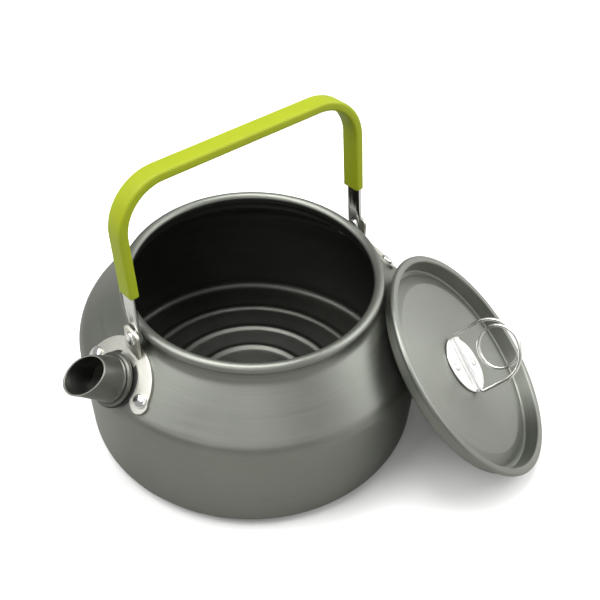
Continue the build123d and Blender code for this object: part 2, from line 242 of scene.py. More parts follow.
def turnedLinesGroup():
    # Fine lines left by turning: long along the circumference, close together along the outline.
    tree, given, out = newGroup("turnedLines", [
        ("Position", "Vector", None), ("Run", "Float", 0), ("Spacing", "Float", 90), ("Sweep", "Float", 14),
    ], ["Lines"])
    split = addNode(tree, "SeparateXYZ", {0: given["Position"]})
    place = addNode(tree, "CombineXYZ", {
        0: scaled(tree, split.outputs["X"], given["Sweep"]),
        1: scaled(tree, split.outputs["Y"], given["Sweep"]),
        2: scaled(tree, given["Run"], given["Spacing"]),
    })
    noise = addNode(tree, "TexNoise", {
        "Vector": place.outputs[0], "Scale": 1.0, "Detail": 4.0, "Roughness": groupLook["turnedRoughness"],
    })
    spread = spreadOut(tree, noise.outputs["Fac"], groupLook["linesFrom"], groupLook["linesTo"])
    tree.links.new(spread, out["Lines"])
    return tree


def cloudGroup():
    # Soft uneven tone, as in a dyed or handled surface.
    tree, given, out = newGroup(
        "cloud", [("Position", "Vector", None), ("Scale", "Float", 40), ("Contrast", "Float", 0.2)], ["Mask"]
    )
    noise = addNode(tree, "TexNoise", {
        "Vector": given["Position"], "Scale": given["Scale"], "Detail": 5.0,
        "Roughness": groupLook["cloudRoughness"],
    })
    low = addNode(tree, "Math", {0: 0.5, 1: given["Contrast"]}, operation="SUBTRACT")
    high = added(tree, 0.5, given["Contrast"])
    tree.links.new(spreadOut(tree, noise.outputs["Fac"], low.outputs[0], high), out["Mask"])
    return tree


def grainGroup():
    # The fine pitting of a blasted or moulded surface.
    tree, given, out = newGroup("grain", [("Position", "Vector", None), ("Scale", "Float", 2500)], ["Height"])
    cells = addNode(tree, "TexVoronoi", {"Vector": given["Position"], "Scale": given["Scale"]})
    noise = addNode(tree, "TexNoise", {
        "Vector": given["Position"], "Scale": given["Scale"], "Detail": 2.0,
    })
    tree.links.new(added(tree, cells.outputs["Distance"], noise.outputs["Fac"]), out["Height"])
    return tree


def scratchGroup():
    # Fine brushed lines along X of the position that is given, and a few deeper scratches at a slant.
    tree, given, out = newGroup(
        "scratches",
        [("Position", "Vector", None), ("Density", "Float", 1600), ("Length", "Float", 40)],
        ["Lines", "Deep"],
    )
    stretch = addNode(tree, "CombineXYZ", {0: given["Length"], 1: given["Density"], 2: given["Density"]})
    place = addNode(tree, "VectorMath", {0: given["Position"], 1: stretch.outputs[0]}, operation="MULTIPLY")
    noise = addNode(tree, "TexNoise", {"Vector": place.outputs[0], "Scale": 1.0, "Detail": 3.0})
    spread = spreadOut(tree, noise.outputs["Fac"], groupLook["linesFrom"], groupLook["linesTo"])
    turned = addNode(tree, "Mapping", {"Vector": place.outputs[0], "Rotation": groupLook["slant"]})
    sparse = addNode(tree, "TexNoise", {
        "Vector": turned.outputs[0], "Scale": groupLook["sparseScale"], "Detail": 1.0,
    })
    deep = spreadOut(tree, sparse.outputs["Fac"], groupLook["deepFrom"], groupLook["deepTo"])
    tree.links.new(spread, out["Lines"])
    tree.links.new(deep, out["Deep"])
    return tree


def edgeWearGroup():
    # Lighter, worn edges, broken up so that they aren't even all along.
    tree, given, out = newGroup(
        "edgeWear", [("Position", "Vector", None), ("From", "Float", 0.52), ("To", "Float", 0.6)], ["Mask"]
    )
    edge = addNode(tree, "NewGeometry").outputs["Pointiness"]
    sharp = spreadOut(tree, edge, given["From"], given["To"])
    patches = addNode(tree, "TexNoise", {
        "Vector": given["Position"], "Scale": groupLook["patchScale"], "Detail": 3.0,
    })
    broken = addNode(tree, "MapRange", {
        "Value": patches.outputs["Fac"], "From Min": groupLook["patchFrom"], "From Max": groupLook["patchTo"],
        "To Min": groupLook["patchLeast"],
    })
    tree.links.new(scaled(tree, sharp, broken.outputs["Result"]), out["Mask"])
    return tree


groups = {
    "turnedLines": turnedLinesGroup(),
    "cloud": cloudGroup(),
    "grain": grainGroup(),
    "scratches": scratchGroup(),
    "edgeWear": edgeWearGroup(),
}


def addGroup(tree, name, links):
    return addNode(tree, "Group", links, node_tree=groups[name])


def startMaterial(name, metallic):
    material = bpy.data.materials.new(name)
    material.use_nodes = True
    tree = material.node_tree
    shader = tree.nodes["Principled BSDF"]
    shader.inputs["Metallic"].default_value = metallic
    position = addNode(tree, "TexCoord").outputs["Object"]
    return material, tree, shader, position


def setRoughness(tree, shader, mask, finish):
    gloss = addNode(tree, "MapRange", {"Value": mask, "To Min": finish["smooth"], "To Max": finish["rough"]})
    tree.links.new(gloss.outputs["Result"], shader.inputs["Roughness"])


def setBump(tree, shader, height, depth):
    bump = addNode(tree, "Bump", {"Height": height, "Strength": 1.0, "Distance": depth})
    tree.links.new(bump.outputs[0], shader.inputs["Normal"])


runScale = 10  # the unwrapped distance along an outline, in each metre

anodisedPattern = {
    "sweep": 14, "cloudScale": 38.0, "cloudContrast": 0.3, "cloudShare": 0.6, "lineShare": 0.4,
    "grainScale": 2600.0, "wornFrom": 0.53, "wornTo": 0.62, "wornShare": 0.4, "anisotropyTurn": 0.25,
}
anodisedFinishes = {
    "body": {
        "dark": (0.175, 0.182, 0.160, 1), "light": (0.235, 0.243, 0.218, 1), "worn": (0.36, 0.365, 0.34, 1),
        "smooth": 0.36, "rough": 0.50, "spacing": 900, "lineDepth": 0.0000035, "grainDepth": 0.5,
        "anisotropy": 0.45,
    },
    # painted shade: the inside finish is darker to stand in for the shade inside the kettle's cavity
    "inside": {
        "dark": (0.080, 0.083, 0.074, 1), "light": (0.115, 0.118, 0.106, 1), "worn": (0.13, 0.13, 0.12, 1),
        "smooth": 0.33, "rough": 0.45, "spacing": 900, "lineDepth": 0.0000025, "grainDepth": 0.5,
        "anisotropy": 0.35,
    },
    "spout": {
        "dark": (0.105, 0.108, 0.094, 1), "light": (0.15, 0.152, 0.136, 1), "worn": (0.30, 0.30, 0.28, 1),
        "smooth": 0.34, "rough": 0.46, "spacing": 1500, "lineDepth": 0.000003, "grainDepth": 0.4,
        "anisotropy": 0.4,
    },
}


def anodisedMaterial(name, finish):
    pattern = anodisedPattern
    material, tree, shader, position = startMaterial(name, 1.0)
    unwrapped = addNode(tree, "UVMap", uv_map="turned").outputs["UV"]
    run = addNode(tree, "SeparateXYZ", {0: unwrapped}).outputs["Y"]
    lines = addGroup(tree, "turnedLines", {
        "Position": position, "Run": run, "Spacing": finish["spacing"] / runScale,
        "Sweep": pattern["sweep"],
    }).outputs["Lines"]
    cloud = addGroup(tree, "cloud", {
        "Position": position, "Scale": pattern["cloudScale"], "Contrast": pattern["cloudContrast"],
    }).outputs["Mask"]
    grain = addGroup(tree, "grain", {"Position": position, "Scale": pattern["grainScale"]}).outputs["Height"]
    worn = addGroup(tree, "edgeWear", {
        "Position": position, "From": pattern["wornFrom"], "To": pattern["wornTo"],
    }).outputs["Mask"]
    tone = added(tree, scaled(tree, cloud, pattern["cloudShare"]), scaled(tree, lines, pattern["lineShare"]))
    colour = mixColours(tree, tone, finish["dark"], finish["light"])
    colour = mixColours(tree, scaled(tree, worn, pattern["wornShare"]), colour, finish["worn"])
    tree.links.new(colour, shader.inputs["Base Color"])
    even = added(tree, scaled(tree, lines, 0.5), scaled(tree, cloud, 0.5))
    setRoughness(tree, shader, even, finish)
    shader.inputs["Anisotropic"].default_value = finish["anisotropy"]
    shader.inputs["Anisotropic Rotation"].default_value = pattern["anisotropyTurn"]
    tangent = addNode(tree, "Tangent", direction_type="UV_MAP", uv_map="turned")
    tree.links.new(tangent.outputs[0], shader.inputs["Tangent"])
    height = added(tree, lines, scaled(tree, grain, finish["grainDepth"]))
    setBump(tree, shader, height, finish["lineDepth"])
    return material


steelPattern = {
    "cloudScale": 160.0, "cloudContrast": 0.25, "cloudShare": 0.45, "lineShare": 0.55,
    "deepShare": 0.5, "deepCut": -2.0, "wornFrom": 0.51, "wornTo": 0.58, "wornShare": 0.5,
}
steelFinishes = {
    "plate": {
        "colour": (0.70, 0.69, 0.625, 1), "shade": (0.62, 0.61, 0.555, 1), "smooth": 0.36, "rough": 0.48,
        "density": 1500, "length": 60, "depth": 0.0000004, "turn": (0, 0, pi / 2),
    },
    "strap": {
        "colour": (0.66, 0.665, 0.65, 1), "shade": (0.52, 0.525, 0.51, 1), "smooth": 0.10, "rough": 0.20,
        "density": 1300, "length": 50, "depth": 0.0000005, "turn": (0, pi / 2, 0),
    },
    "rivet": {
        "colour": (0.82, 0.82, 0.81, 1), "shade": (0.72, 0.72, 0.70, 1), "smooth": 0.08, "rough": 0.18,
        "density": 900, "length": 300, "depth": 0.0000002, "turn": (0.4, 0.3, 0.2),
    },
    "holder": {
        "colour": (0.88, 0.88, 0.87, 1), "shade": (0.70, 0.70, 0.68, 1), "smooth": 0.22, "rough": 0.40,
        "density": 1500, "length": 70, "depth": 0.000005, "turn": (0, 0, 0),
    },
    "wire": {
        "colour": (0.80, 0.80, 0.77, 1), "shade": (0.58, 0.575, 0.54, 1), "smooth": 0.10, "rough": 0.26,
        "density": 700, "length": 500, "depth": 0.000002, "turn": (0.2, 0.1, 0.5),
    },
}


def steelMaterial(name, finish, turn=None):
    pattern = steelPattern
    material, tree, shader, position = startMaterial(name, 1.0)
    turned = addNode(tree, "Mapping", {"Vector": position, "Rotation": turn or finish["turn"]}).outputs[0]
    brushed = addGroup(tree, "scratches", {
        "Position": turned, "Density": finish["density"], "Length": finish["length"],
    }).outputs
    cloud = addGroup(tree, "cloud", {
        "Position": position, "Scale": pattern["cloudScale"], "Contrast": pattern["cloudContrast"],
    }).outputs["Mask"]
    worn = addGroup(tree, "edgeWear", {
        "Position": position, "From": pattern["wornFrom"], "To": pattern["wornTo"],
    }).outputs["Mask"]
    soft = scaled(tree, cloud, pattern["cloudShare"])
    tone = added(tree, soft, scaled(tree, brushed["Lines"], pattern["lineShare"]))
    colour = mixColours(tree, tone, finish["shade"], finish["colour"])
    colour = mixColours(tree, scaled(tree, brushed["Deep"], pattern["deepShare"]), colour, finish["shade"])
    colour = mixColours(tree, scaled(tree, worn, pattern["wornShare"]), colour, finish["colour"])
    tree.links.new(colour, shader.inputs["Base Color"])
    setRoughness(tree, shader, tone, finish)
    height = added(tree, brushed["Lines"], scaled(tree, brushed["Deep"], pattern["deepCut"]))
    setBump(tree, shader, height, finish["depth"])
    return material


siliconeFinish = {
    "colour": (0.275, 0.325, 0.005, 1), "deep": (0.24, 0.285, 0.004, 1), "dusty": (0.32, 0.36, 0.03, 1),
    "smooth": 0.46, "rough": 0.60, "grainScale": 1900.0, "grainDepth": 0.000012, "specular": 0.28,
    "cloudScale": 55.0, "cloudContrast": 0.3, "speckScale": 900.0, "speckContrast": 0.12,
    "speckShare": 0.08, "wornFrom": 0.51, "wornTo": 0.56, "wornShare": 0.35,
}
sealFinish = {
    "colour": (0.03, 0.03, 0.029, 1), "deep": (0.012, 0.012, 0.012, 1), "smooth": 0.5, "rough": 0.68,
    "grainScale": 2400.0, "grainDepth": 0.00001, "cloudScale": 300.0, "cloudContrast": 0.25,
}


def rubberStart(name, finish):
    # What the sleeve and the seal share: a cloudy tone, its gloss and the grain of the mould.
    material, tree, shader, position = startMaterial(name, 0.0)
    cloud = addGroup(tree, "cloud", {
        "Position": position, "Scale": finish["cloudScale"], "Contrast": finish["cloudContrast"],
    }).outputs["Mask"]
    grain = addGroup(tree, "grain", {"Position": position, "Scale": finish["grainScale"]}).outputs["Height"]
    colour = mixColours(tree, cloud, finish["deep"], finish["colour"])
    setRoughness(tree, shader, cloud, finish)
    setBump(tree, shader, grain, finish["grainDepth"])
    return material, tree, shader, position, colour


def siliconeMaterial(name, finish):
    material, tree, shader, position, colour = rubberStart(name, finish)
    specks = addGroup(tree, "cloud", {
        "Position": position, "Scale": finish["speckScale"], "Contrast": finish["speckContrast"],
    }).outputs["Mask"]
    worn = addGroup(tree, "edgeWear", {
        "Position": position, "From": finish["wornFrom"], "To": finish["wornTo"],
    }).outputs["Mask"]
    colour = mixColours(tree, scaled(tree, specks, finish["speckShare"]), colour, finish["dusty"])
    colour = mixColours(tree, scaled(tree, worn, finish["wornShare"]), colour, finish["dusty"])
    tree.links.new(colour, shader.inputs["Base Color"])
    shader.inputs["Specular IOR Level"].default_value = finish["specular"]
    return material


def sealMaterial(name, finish):
    material, tree, shader, position, colour = rubberStart(name, finish)
    tree.links.new(colour, shader.inputs["Base Color"])
    return material


bodyFinish = anodisedMaterial("anodisedBody", anodisedFinishes["body"])
# painted shade: the kettle's inside gets a darker anodised colour for the shade in its cavity
insidePaintedShadeFinish = anodisedMaterial("anodisedInsidePaintedShade", anodisedFinishes["inside"])
spoutFinish = anodisedMaterial("anodisedSpout", anodisedFinishes["spout"])
plateFinish = steelMaterial("plateSteel", steelFinishes["plate"])
strapFinish = steelMaterial("strapSteel", steelFinishes["strap"])
rivetFinish = steelMaterial("rivetSteel", steelFinishes["rivet"])
wireFinish = steelMaterial("wireSteel", steelFinishes["wire"])
sleeveRubber = siliconeMaterial("limeSilicone", siliconeFinish)
sealRubber = sealMaterial("blackSeal", sealFinish)
print("materials:", len(bpy.data.materials), "with", len(groups), "shared groups")


def roundedRun(corners, arcStep=radians(6)):
    # A line through (x, y, rounding) corners, with an arc at each corner that has a rounding.
    points = []
    for index, (x, y, rounding) in enumerate(corners):
        here = Vector((x, y))
        if not rounding:
            points.append(here)
            continue
        back = (Vector(corners[index - 1][:2]) - here).normalized()
        ahead = (Vector(corners[index + 1][:2]) - here).normalized()
        half = back.angle(ahead) / 2
        turn = pi - 2 * half
        if back.cross(ahead) > 0:
            turn = -turn
        centre = here + (back + ahead).normalized() * rounding / sin(half)
        spoke = here + back * rounding / tan(half) - centre
        count = max(3, ceil(abs(turn) / arcStep))
        for step in range(count + 1):
            points.append(centre + Matrix.Rotation(turn * step / count, 2) @ spoke)
    return points


def roundedLine(corners, eases, arcStep=radians(6)):
    return roundedRun([(x, y, ease) for (x, y), ease in zip(corners, eases)], arcStep)


def arcRun(centre, radius, start, end, count):
    angles = [start + (end - start) * step / count for step in range(count + 1)]
    return [Vector((centre[0] + radius * cos(a), centre[1] + radius * sin(a))) for a in angles]


def evenRun(points, gap):
    # The same line with no stretch longer than the gap.
    even = [points[0]]
    for point in points[1:]:
        start = even[-1]
        count = max(1, ceil((point - start).length / gap))
        even += [start.lerp(point, step / count) for step in range(1, count + 1)]
    return even


def insetCorners(corners, depth):
    # The corners of a line moved to its left by the depth.
    runs = []
    for (x0, y0), (x1, y1) in zip(corners, corners[1:]):
        length = hypot(x1 - x0, y1 - y0)
        nx, ny = (y0 - y1) / length, (x1 - x0) / length
        runs.append((nx, ny, nx * x0 + ny * y0 + depth))
    moved = [(corners[0][0] + depth * runs[0][0], corners[0][1] + depth * runs[0][1])]
    for (ax, ay, a), (bx, by, b) in zip(runs, runs[1:]):
        cross = ax * by - ay * bx
        moved.append(((a * by - b * ay) / cross, (ax * b - bx * a) / cross))
    moved.append((corners[-1][0] + depth * runs[-1][0], corners[-1][1] + depth * runs[-1][1]))
    return moved


def turnedMesh(points, steps, closed=False):
    # Spins an outline of (radius, height) points round Z and unwraps it along and around the outline.
    bm = bmesh.new()
    run = bm.verts.layers.float.new("run")
    verts = []
    travelled = 0
    for point in points:
        vert = bm.verts.new((max(point[0], 0), 0, point[1]))
        if verts:
            travelled += (vert.co - verts[-1].co).length
        vert[run] = travelled
        verts.append(vert)
    edges = [bm.edges.new(pair) for pair in zip(verts, verts[1:])]
    if closed:
        edges.append(bm.edges.new((verts[-1], verts[0])))
    bmesh.ops.spin(
        bm, geom=verts + edges, axis=(0, 0, 1), cent=(0, 0, 0), angle=2 * pi, steps=steps, use_merge=True
    )
    bmesh.ops.remove_doubles(bm, verts=bm.verts, dist=1e-6)
    bmesh.ops.recalc_face_normals(bm, faces=bm.faces)
    unwrapTurned(bm, run)
    return bm


def unwrapTurned(bm, run):
    uv = bm.loops.layers.uv.new("turned")
    for face in bm.faces:
        centre = face.calc_center_median()
        middle = atan2(centre.y, centre.x)
        for loop in face.loops:
            spot = loop.vert.co
            around = middle if hypot(spot.x, spot.y) < 1e-6 else atan2(spot.y, spot.x)
            around -= 2 * pi * round((around - middle) / (2 * pi))
            loop[uv].uv = (around / (2 * pi), loop.vert[run] * runScale)


def makeObject(name, bm, material):
    mesh = bpy.data.meshes.new(name)
    bm.to_mesh(mesh)
    bm.free()
    if material:
        mesh.materials.append(material)
    piece = bpy.data.objects.new(name, mesh)
    bpy.context.collection.objects.link(piece)
    return piece


def smoothPiece(piece, sharpAngle=38):
    piece.data.shade_smooth()
    piece.data.set_sharp_from_angle(angle=radians(sharpAngle))


def applyModifiers(piece):
    bpy.context.view_layer.update()
    shown = piece.evaluated_get(bpy.context.evaluated_depsgraph_get())
    finished = bpy.data.meshes.new_from_object(shown)
    piece.modifiers.clear()
    old = piece.data
    piece.data = finished
    bpy.data.meshes.remove(old)


def combine(piece, other, operation):
    # Joins the other piece to this one, or cuts it away, and then drops it.
    boolean = piece.modifiers.new("combine", "BOOLEAN")
    boolean.operation = operation
    boolean.solver = "EXACT"
    boolean.object = other
    applyModifiers(piece)
    mesh = other.data
    bpy.data.objects.remove(other)
    bpy.data.meshes.remove(mesh)


def thickened(bm, outward, thickness):
    # A sheet's outer face, made to face outward and given its thickness on the inside.
    bmesh.ops.recalc_face_normals(bm, faces=bm.faces)
    if sum((face.normal * face.calc_area() for face in bm.faces), Vector()).dot(outward) < 0:
        bmesh.ops.reverse_faces(bm, faces=bm.faces)
    bmesh.ops.solidify(bm, geom=bm.faces[:], thickness=thickness)
    return bm


def finishPiece(piece, body, slot, *nodes):
    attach(piece, body)
    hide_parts(*nodes)


def addPiece(name, bm, material, body, slot, node, sharpAngle=38):
    piece = makeObject(name, bm, material)
    smoothPiece(piece, sharpAngle)
    finishPiece(piece, body, slot, node)


kettle = {
    "wall": 0.0011,
    "baseRadius": 0.0732,
    "shoulderRadius": 0.07515,
    "shoulderHeight": 0.0485,
    "neckRadius": 0.0543,
    "neckFoot": 0.068,
    "baseCorner": 0.005,
    "shoulderCorner": 0.009,
    "neckCorner": 0.005,
    "rimInset": 0.001,
    "rimBead": 0.0023,
    "rimHeight": 0.0761,
    "ringRadii": (0.0286, 0.0418, 0.056),
    "ringRise": 0.0008,
    "ringHalfWidth": 0.0027,
    "ringSteps": 6,
    "beadSteps": 36,
    "meshGap": 0.0017,
    "steps": 180,
}
coneSlope = atan2(
    kettle["neckFoot"] - kettle["shoulderHeight"], kettle["shoulderRadius"] - kettle["neckRadius"]
)


def pressedFloor(level):
    # The floor's line from the middle out, with a soft ridge at each pressed ring.
    points = [Vector((0, level))]
    for ring in kettle["ringRadii"]:
        for step in range(-kettle["ringSteps"], kettle["ringSteps"] + 1):
            across = step / kettle["ringSteps"]
            rise = kettle["ringRise"] * cos(across * pi / 2) ** 2
            points.append(Vector((ring + across * kettle["ringHalfWidth"], level + rise)))
    return points


def kettleOutline():
    beadCentre = (kettle["neckRadius"] - kettle["rimInset"], kettle["rimHeight"] - kettle["rimBead"])
    corners = [
        (0, 0),
        (kettle["baseRadius"], 0),
        (kettle["shoulderRadius"], kettle["shoulderHeight"]),
        (kettle["neckRadius"], kettle["neckFoot"]),
        (kettle["neckRadius"], beadCentre[1] - kettle["rimBead"] / 2),
    ]
    wall = kettle["wall"]
    base, shoulder, neck = kettle["baseCorner"], kettle["shoulderCorner"], kettle["neckCorner"]
    outer = roundedLine(corners, (0, base, shoulder, neck, 0), radians(5))
    inside = insetCorners(corners, wall)
    inner = roundedLine(inside, (0, base - wall, shoulder - wall, neck + wall, 0), radians(5))
    start = -acos(kettle["rimInset"] / kettle["rimBead"])
    end = pi + acos((wall - kettle["rimInset"]) / kettle["rimBead"])
    bead = arcRun(beadCentre, kettle["rimBead"], start, end, kettle["beadSteps"])
    line = pressedFloor(0) + outer[1:-1] + bead + inner[-2:0:-1] + pressedFloor(wall)[::-1]
    return evenRun(line, kettle["meshGap"])


def coneDistance(spot):
    # How far a point lies outside the cone of the shoulder.
    around = hypot(spot.x, spot.y) - kettle["neckRadius"]
    return around * sin(coneSlope) + (spot.z - kettle["neckFoot"]) * cos(coneSlope)


def conePlace(azimuth, height, elevation):
    drop = kettle["neckFoot"] - height
    radius = kettle["neckRadius"] + drop * cos(coneSlope) / sin(coneSlope)
    a, e = radians(azimuth), radians(elevation)
    return placeMatrix(
        (radius * cos(a), radius * sin(a), height),
        (cos(a) * cos(e), sin(a) * cos(e), sin(e)),
        (-sin(a), cos(a), 0),
    )


spout = {
    "height": 0.0547,
    "elevation": 40.0,
    "length": 0.0174,
    "baseRadius": 0.0096,
    "tipRadius": 0.0083,
    "neckRadius": 0.0084,
    "wall": 0.0008,
    "beadRadius": 0.0111,
    "beadHalfWidth": 0.0013,
    "beadLow": 0.001,
    "beadEnd": pi * 0.62,
    "footEase": 0.0002,
    "collarStep": 0.0002,
    "collarLow": 0.0014,
    "collarHigh": 0.0019,
    "collarEase": 0.0003,
    "waistInset": 0.0003,
    "waistHeight": 0.0023,
    "waistEase": 0.0004,
    "taperEase": 0.004,
    "throatHeight": 0.002,
    "throatEase": 0.001,
    "flangeRadius": 0.0104,
    "flangeThickness": 0.001,
    "flangeBend": 0.0008,
    "flangeEase": 0.0004,
    "sealRadius": 0.0116,
    "seatGap": 0.00005,
    "mouthTilt": radians(26),
    "lipRounding": 0.00028,
    "cutterLength": 0.016,
    "passes": 4,
    "meshGap": 0.0012,
    "steps": 96,
}
spoutPlace = conePlace(180, spout["height"], spout["elevation"])


def makeKettle():
    # From a little below the top of the bead inwards, the shell has the darker inside finish, which is
    # painted shade darkening the cavity.
    shell = turnedMesh(kettleOutline(), kettle["steps"])
    run = shell.verts.layers.float["run"]
    rimTop = max(vert.co.z for vert in shell.verts) - 1e-5
    paintedShadeFrom = max(vert[run] for vert in shell.verts if vert.co.z > rimTop) + kettle["rimBead"]
    for face in shell.faces:
        if min(vert[run] for vert in face.verts) > paintedShadeFrom:
            face.material_index = 1
    piece = makeObject("kettleBody", shell, bodyFinish)
    piece.data.materials.append(insidePaintedShadeFinish)
    bm = bmesh.new()
    bore = spout["neckRadius"] + spout["seatGap"]
    bmesh.ops.create_cone(
        bm, cap_ends=True, segments=64, depth=spout["cutterLength"],
        radius1=bore, radius2=bore, matrix=spoutPlace,
    )
    combine(piece, makeObject("spoutCutter", bm, None), "DIFFERENCE")
    smoothPiece(piece)
    finishPiece(piece, "kettle", "anodised_body", "kettle_body")


makeKettle()
print("kettle body: turned shell with pressed rings, rolled rim and the spout's hole")


def seatOnCone(bm, place, below):
    # What lies under the given level follows the cone of the shoulder.
    inverse = place.inverted()
    axis = place.to_3x3() @ Vector((0, 0, 1))
    for vert in bm.verts:
        level = (inverse @ vert.co).z
        if level < below:
            for again in range(spout["passes"]):
                vert.co -= axis * (coneDistance(vert.co) - level)


def spoutOutline():
    s = spout
    under = -kettle["wall"] - s["seatGap"]
    middle = s["beadLow"] + s["beadHalfWidth"]
    beadCentre = (s["beadRadius"] - s["beadHalfWidth"], middle)
    reach = s["length"] + 2 * s["tipRadius"]
    flange = under - s["flangeThickness"]
    neck, base, tip = (s[end] - s["wall"] for end in ("neckRadius", "baseRadius", "tipRadius"))
    bead = arcRun(beadCentre, s["beadHalfWidth"], -pi / 2, s["beadEnd"], 20)
    collar = roundedRun([
        (bead[-1].x, bead[-1].y, 0),
        (s["baseRadius"] + s["collarStep"], middle + s["collarLow"], s["collarEase"]),
        (s["baseRadius"] + s["collarStep"], middle + s["collarHigh"], s["collarEase"]),
        (s["baseRadius"] - s["waistInset"], middle + s["waistHeight"], s["waistEase"]),
        (s["tipRadius"], s["length"], s["taperEase"]),
        (s["tipRadius"], reach, 0),
    ])
    inner = roundedRun([
        (tip, reach, 0),
        (tip, s["length"], s["taperEase"]),
        (base, middle + s["throatHeight"], s["throatEase"]),
        (neck, s["beadLow"], s["throatEase"]),
        (neck, flange, s["flangeBend"]),
        (s["flangeRadius"], flange, s["flangeEase"]),
        (s["flangeRadius"], under, s["flangeEase"]),
        (s["neckRadius"], under, 0),
    ])
    foot = [Vector((s["neckRadius"], height)) for height in (under, s["beadLow"] - s["footEase"])]
    return evenRun(foot + bead + collar[1:] + inner[:-1], s["meshGap"])


def makeSpout():
    bm = turnedMesh(spoutOutline(), spout["steps"], closed=True)
    tilt = Vector((0, sin(spout["mouthTilt"]), cos(spout["mouthTilt"])))
    bmesh.ops.bisect_plane(
        bm, geom=[*bm.verts, *bm.edges, *bm.faces], plane_co=(0, 0, spout["length"]), plane_no=tilt,
        clear_outer=True,
    )
    lip = [edge for edge in bm.edges if edge.is_boundary]
    bmesh.ops.bridge_loops(bm, edges=lip)
    rimEdges = [edge for edge in lip if edge.is_valid]
    bmesh.ops.bevel(
        bm, geom=rimEdges, offset=spout["lipRounding"], segments=3, profile=0.5, material=-1, affect="EDGES"
    )
    bmesh.ops.recalc_face_normals(bm, faces=bm.faces)
    bmesh.ops.transform(bm, matrix=spoutPlace, verts=bm.verts)
    seatOnCone(bm, spoutPlace, spout["beadLow"] / 2)
    addPiece("spoutTube", bm, spoutFinish, "kettle", "anodised_spout", "spout_tube")


def makeSeal():
    gap = spout["seatGap"]
    low, high = gap, spout["beadLow"] - gap
    outline = roundedRun([
        (spout["neckRadius"] + gap, low, 0),
        (spout["sealRadius"], low, spout["collarEase"]),
        (spout["sealRadius"], high, spout["collarEase"]),
        (spout["neckRadius"] + gap, high, 0),
    ])
    bm = turnedMesh(outline, spout["steps"], closed=True)
    bmesh.ops.transform(bm, matrix=spoutPlace, verts=bm.verts)
    seatOnCone(bm, spoutPlace, 1)
    addPiece("spoutSeal", bm, sealRubber, "kettle", "seal", "spout_gasket")


makeSpout()
makeSeal()
print("spout: beaded tube with an oblique mouth, and its seal")


rivets = {
    "headRadius": 0.003,
    "headHeight": 0.0014,
    "shank": 0.0016,
    "footRadius": 0.0026,
    "footHeight": 0.0008,
    "headLevel": 0.00135,
    "grip": 0.0025,
    "frontSpread": 0.0168,
    "rearSpread": 0.0145,
    "rearHeight": 0.0574,
    "pivotHead": 0.0032,
    "pivotFoot": 0.0006,
    "domeSteps": 8,
    "edgeShare": 0.3,
    "edgeEase": 0.12,
    "footEase": 0.45,
    "washerEase": 0.3,
    "steps": 48,
}
coneElevation = 90 - degrees(coneSlope)


def rivetMesh(head, height, shank, grip, foot, footHeight, place):
    # A domed head with a rolled edge, a shank and a flat closed foot.
    edge = rivets["edgeShare"] * height
    ease = rivets["edgeEase"] * height
    angles = [pi / 2 * step / rivets["domeSteps"] for step in range(rivets["domeSteps"])]
    corners = [(head * sin(a), edge + (height - edge) * cos(a), 0) for a in angles] + [
        (head, edge, ease),
        (head, 0, ease),
        (shank, 0, 0),
        (shank, -grip, 0),
        (foot, -grip, 0),
        (foot, -grip - footHeight, footHeight * rivets["footEase"]),
        (0, -grip - footHeight, 0),
    ]
    bm = turnedMesh(roundedRun(corners, radians(15)), rivets["steps"])
    bmesh.ops.transform(bm, matrix=place, verts=bm.verts)
    return bm


def makeBracketRivets():
    r = rivets
    front = spoutPlace.translation.x
    frontAngle = degrees(r["frontSpread"] / hypot(front, r["frontSpread"]))
    rear = conePlace(0, r["rearHeight"], coneElevation).translation.x
    rearAngle = degrees(r["rearSpread"] / rear)
    spots = {
        "front_rivet_left": (180 + frontAngle, spout["height"]),
        "front_rivet_right": (180 - frontAngle, spout["height"]),
        "rear_rivet_left": (-rearAngle, r["rearHeight"]),
        "rear_rivet_right": (rearAngle, r["rearHeight"]),
    }
    for node, (azimuth, height) in spots.items():
        place = conePlace(azimuth, height, coneElevation) @ Matrix.Translation((0, 0, r["headLevel"]))
        bm = rivetMesh(
            r["headRadius"], r["headHeight"], r["shank"], r["grip"], r["footRadius"], r["footHeight"], place
        )
        addPiece(node.replace("_rivet", "Rivet"), bm, rivetFinish, "kettle", "rivet_steel", node)


def makePivots():
    for end, side in (("front", -1), ("rear", 1)):
        low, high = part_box(end + "_pivot_rivet")
        middle = (low + high) / 2
        reach = high.x - low.x
        seat = (high.x if side > 0 else low.x) - side * rivets["headHeight"]
        place = placeMatrix((seat, middle.y, middle.z), (side, 0, 0), (0, 1, 0))
        grip = reach - rivets["headHeight"] - rivets["pivotFoot"]
        bm = rivetMesh(
            rivets["pivotHead"], rivets["headHeight"], rivets["shank"], grip,
            rivets["pivotHead"], rivets["pivotFoot"], place,
        )
        addPiece(end + "PivotRivet", bm, rivetFinish, "kettle", "rivet_steel", end + "_pivot_rivet")
        makeWasher(end, side)


def makeWasher(end, side):
    low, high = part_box(end + "_pivot_washer")
    thickness = high.x - low.x
    outside = (high.y - low.y) / 2
    inside = rivets["shank"] + spout["seatGap"]
    ease = thickness * rivets["washerEase"]
    outline = roundedRun([
        (inside, -thickness / 2, 0), (outside, -thickness / 2, ease),
        (outside, thickness / 2, ease), (inside, thickness / 2, 0),
    ], radians(20))
    bm = turnedMesh(outline, rivets["steps"], closed=True)
    place = placeMatrix((low + high) / 2, (side, 0, 0), (0, 1, 0))
    bmesh.ops.transform(bm, matrix=place, verts=bm.verts)
    addPiece(end + "PivotWasher", bm, strapFinish, "kettle", "strap_steel", end + "_pivot_washer")


makeBracketRivets()
makePivots()
print("rivets: four in the brackets, two at the pivots with their washers")


easing = {
    "merge": 2e-6,
    "flat": radians(0.6),
    "sharp": radians(32),
    "plateEdge": 0.00028,
    "strapEdge": 0.00022,
}


